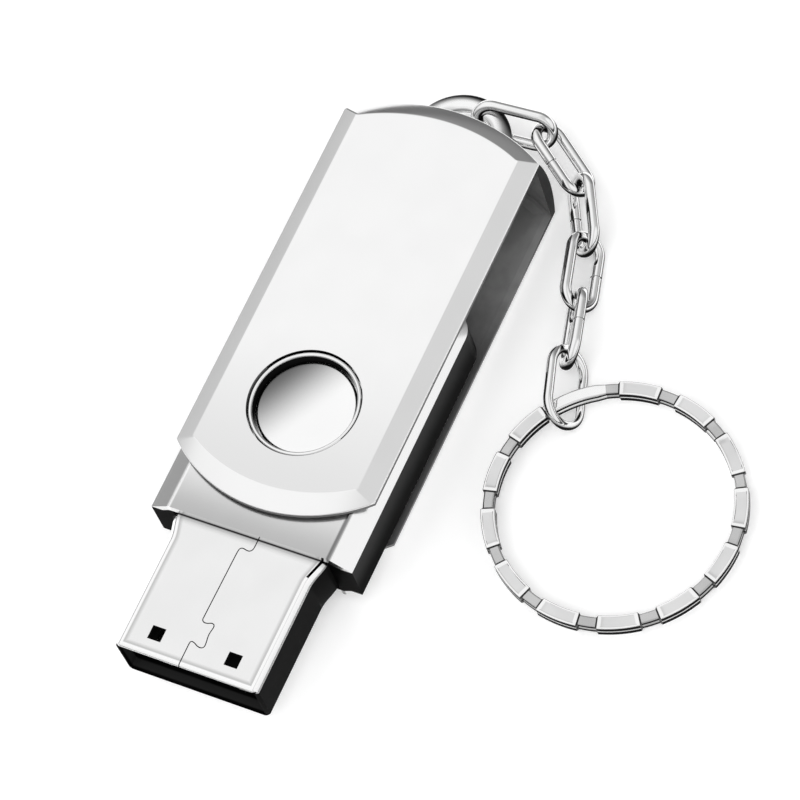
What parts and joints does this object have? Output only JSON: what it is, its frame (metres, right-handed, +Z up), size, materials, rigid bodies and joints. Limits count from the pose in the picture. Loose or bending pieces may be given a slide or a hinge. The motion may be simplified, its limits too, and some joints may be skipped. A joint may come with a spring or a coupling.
{
  "type": "usb flash drive",
  "caption": "USB flash drive whose body turns in a U-shaped metal cover, with a short wire-link chain and a split key ring.",
  "frame": {"origin": "centre of the swivel cover's flat underside, on the surface that the drive lies on", "axes": "+X out of the plug, +Y towards the side where the chain lies, +Z up through the cover's plates"},
  "size_m": [0.0527, 0.0414, 0.0086],
  "materials": {
    "cover_chrome": "polished chrome-plated sheet steel",
    "pivot_chrome": "polished chrome",
    "disc_chrome": "polished metal disc with a soft gradient",
    "casing_metal": "satin silver",
    "frame_plastic": "glossy black moulded plastic",
    "plug_steel": "bright nickel-plated steel",
    "tongue_plastic": "black moulded plastic",
    "contact_gold": "gold-plated spring contacts",
    "board_resin": "green solder mask",
    "chip_resin": "black epoxy package",
    "crystal_can": "plain metal can",
    "capacitor_ceramic": "tan ceramic",
    "resistor_ceramic": "black ceramic chip",
    "chain_chrome": "polished nickel-plated wire",
    "ring_chrome": "stamped nickel-plated spring steel"
  },
  "bodies": {
    "cover": {"swivel_cover": "cover_chrome", "upper_pivot_ring": "pivot_chrome", "lower_pivot_ring": "pivot_chrome", "key_loop": "chain_chrome"},
    "drive": {"upper_casing": "casing_metal", "lower_casing": "casing_metal", "body_frame": "frame_plastic", "upper_pivot_disc": "disc_chrome", "lower_pivot_disc": "disc_chrome", "plug_shell": "plug_steel", "plug_tongue": "tongue_plastic", "contact_power": "contact_gold", "contact_data_minus": "contact_gold", "contact_data_plus": "contact_gold", "contact_ground": "contact_gold", "circuit_board": "board_resin", "memory_chip": "chip_resin", "controller_chip": "chip_resin", "crystal": "crystal_can", "capacitor_1": "capacitor_ceramic", "capacitor_2": "capacitor_ceramic", "capacitor_3": "capacitor_ceramic", "resistor_1": "resistor_ceramic", "resistor_2": "resistor_ceramic"},
    "link_1": {"chain_link_1": "chain_chrome"},
    "link_2": {"chain_link_2": "chain_chrome"},
    "link_3": {"chain_link_3": "chain_chrome"},
    "link_4": {"chain_link_4": "chain_chrome"},
    "link_5": {"chain_link_5": "chain_chrome"},
    "link_6": {"chain_link_6": "chain_chrome"},
    "ring": {"key_ring": "ring_chrome"}
  },
  "joints": [
    {"name": "drive_swivel", "type": "hinge", "parent": "cover", "child": "drive", "pos_m": [0.0093, 0, 0.0043], "axis": [0, 0, 1], "range_deg": [-180, 0]},
    {"name": "loop_to_link_1", "type": "hinge", "parent": "cover", "child": "link_1", "pos_m": [-0.01962, 0.00105, 0.00455], "axis": [0, 0, 1], "range_deg": [-1, 40]},
    {"name": "link_1_to_link_2", "type": "hinge", "parent": "link_1", "child": "link_2", "pos_m": [-0.0203, 0.00591, 0.0036], "axis": [0, 0, 1], "range_deg": [-1, 40]},
    {"name": "link_2_to_link_3", "type": "hinge", "parent": "link_2", "child": "link_3", "pos_m": [-0.01757, 0.00982, 0.0021], "axis": [0, 0, 1], "range_deg": [-1, 40]},
    {"name": "link_3_to_link_4", "type": "hinge", "parent": "link_3", "child": "link_4", "pos_m": [-0.01318, 0.01215, 0.0015], "axis": [0, 0, 1], "range_deg": [-1, 35]},
    {"name": "link_4_to_link_5", "type": "hinge", "parent": "link_4", "child": "link_5", "pos_m": [-0.00838, 0.01353, 0.00165], "axis": [0, 0, 1], "range_deg": [-1, 30]},
    {"name": "link_5_to_link_6", "type": "hinge", "parent": "link_5", "child": "link_6", "pos_m": [-0.00358, 0.0149, 0.00185], "axis": [0, 0, 1], "range_deg": [-1, 30]},
    {"name": "link_6_to_ring", "type": "hinge", "parent": "link_6", "child": "ring", "pos_m": [0.00143, 0.01653, 0.0019], "axis": [0, 0, 1], "range_deg": [-8, 20]}
  ]
}
